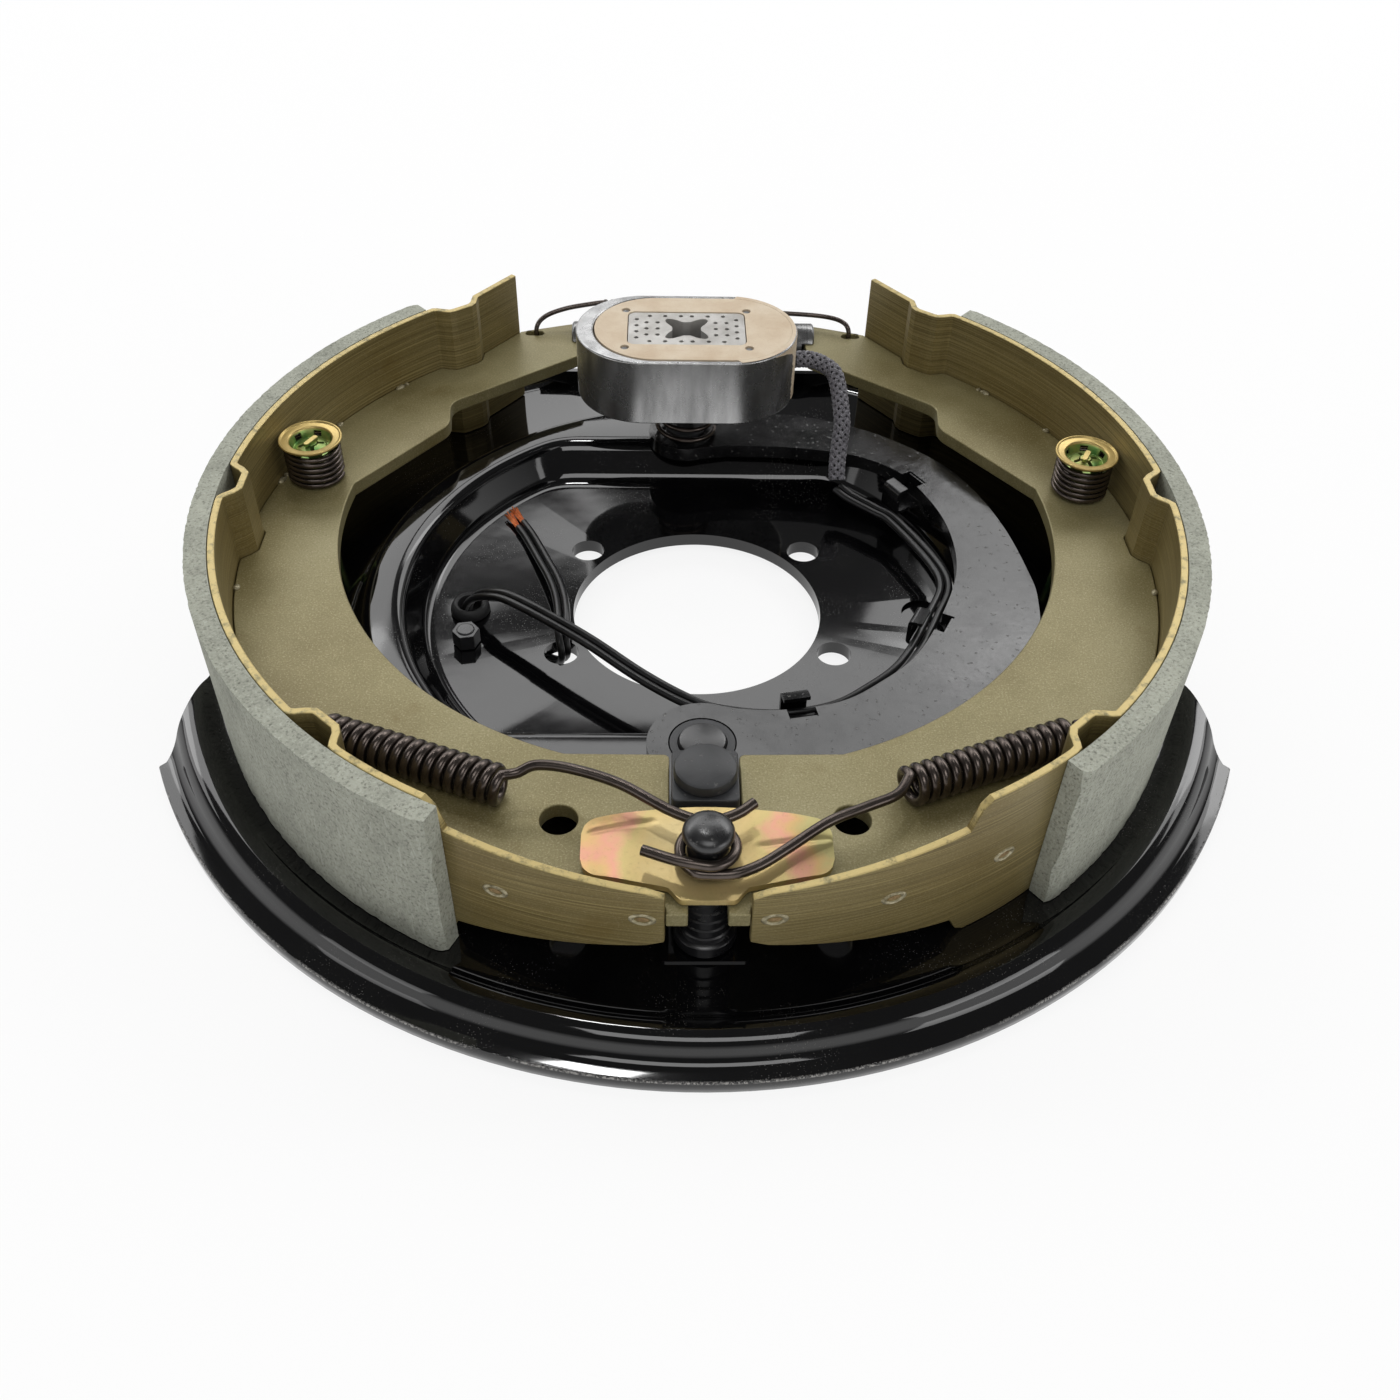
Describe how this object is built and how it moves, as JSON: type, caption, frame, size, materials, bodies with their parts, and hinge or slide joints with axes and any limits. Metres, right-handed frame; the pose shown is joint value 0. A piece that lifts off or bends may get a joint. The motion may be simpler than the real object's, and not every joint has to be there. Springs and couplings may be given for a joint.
{
  "type": "electric trailer drum brake assembly",
  "caption": "Electric drum brake for a trailer axle: pressed backing plate, two lined shoes, magnet on a swinging lever, springs, adjuster and leads.",
  "frame": {"origin": "on the wheel axis, at the surface the brake lies on", "axes": "+Z along the wheel axis towards the drum, -Y towards the anchor post, +X towards the primary shoe"},
  "size_m": [0.3166, 0.318, 0.065],
  "materials": {
    "black_paint": "gloss",
    "black_steel": "satin",
    "yellow_zinc": "satin",
    "olive_paint": "satin",
    "friction_lining": "matte",
    "spring_steel": "satin",
    "bright_steel": "satin",
    "friction_face": "matte",
    "copper": "satin",
    "rubber": "matte",
    "braid": "matte",
    "insulation": "gloss"
  },
  "bodies": {
    "plate": {"backing_plate": "black_paint", "anchor_post": "black_steel", "anchor_plate": "yellow_zinc", "pivot_pin": "black_steel", "wire_grommet": "rubber", "slot_plug": "rubber", "hex_stud": "black_steel", "hold_down_pin_primary": "yellow_zinc", "hold_down_pin_secondary": "yellow_zinc", "hold_down_spring_primary": "spring_steel", "hold_down_spring_secondary": "spring_steel", "hold_down_cup_primary": "yellow_zinc", "hold_down_cup_secondary": "yellow_zinc", "lead_a": "insulation", "lead_b": "insulation", "bare_end_a": "copper", "bare_end_b": "copper"},
    "lever": {"actuating_lever": "black_steel", "pivot_bush": "black_steel", "block_pin": "black_steel", "magnet_stud": "black_steel", "magnet_spring": "spring_steel"},
    "block": {"actuating_block": "black_steel"},
    "magnet": {"magnet_case": "bright_steel", "magnet_core": "bright_steel", "magnet_face": "friction_face", "magnet_coil": "copper", "lead_sleeve": "braid"},
    "secondary_shoe": {"secondary_table": "olive_paint", "secondary_web": "olive_paint", "secondary_lining": "friction_lining", "return_spring_secondary": "spring_steel", "adjuster_socket": "bright_steel", "adjuster_cap": "bright_steel", "adjuster_spring": "spring_steel"},
    "star_wheel": {"star_wheel_screw": "bright_steel"},
    "primary_shoe": {"primary_table": "olive_paint", "primary_web": "olive_paint", "primary_lining": "friction_lining", "return_spring_primary": "spring_steel"}
  },
  "joints": [
    {"name": "lever_swing", "type": "hinge", "parent": "plate", "child": "lever", "pos_m": [0, -0.0775, 0.0196], "axis": [0, 0, 1], "range_deg": [0, 5], "stiffness_Nm_per_rad": 20, "deforming": ["lead_a", "lead_b"]},
    {"name": "block_swivel", "type": "hinge", "parent": "lever", "child": "block", "pos_m": [0, -0.1025, 0.0244], "axis": [0, 0, 1], "range_deg": [-5, 5]},
    {"name": "magnet_float", "type": "slide", "parent": "lever", "child": "magnet", "axis": [0, 0, 1], "range_m": [-0.005, 0], "stiffness_N_per_m": 3000, "springref_m": 0.004, "deforming": ["magnet_spring", "lead_sleeve"]},
    {"name": "secondary_swing", "type": "hinge", "parent": "plate", "child": "secondary_shoe", "pos_m": [0, -0.13, 0.0288], "axis": [0, 0, 1], "range_deg": [0, 0.3], "deforming": ["return_spring_secondary"]},
    {"name": "primary_swing", "type": "hinge", "parent": "secondary_shoe", "child": "primary_shoe", "pos_m": [0.042, 0.133, 0.0312], "axis": [0, 0, 1], "range_deg": [0, 0.6], "deforming": ["return_spring_primary", "adjuster_spring"]},
    {"name": "star_wheel_spin", "type": "hinge", "parent": "secondary_shoe", "child": "star_wheel", "pos_m": [0.008, 0.133, 0.0312], "axis": [1, 0, 0], "continuous": true}
  ],
  "couplings": [
    {"joint": "block_swivel", "follows": "lever_swing", "ratio": -1},
    {"joint": "secondary_swing", "follows": "lever_swing", "ratio": 0.04},
    {"joint": "primary_swing", "follows": "lever_swing", "ratio": 0.111}
  ]
}
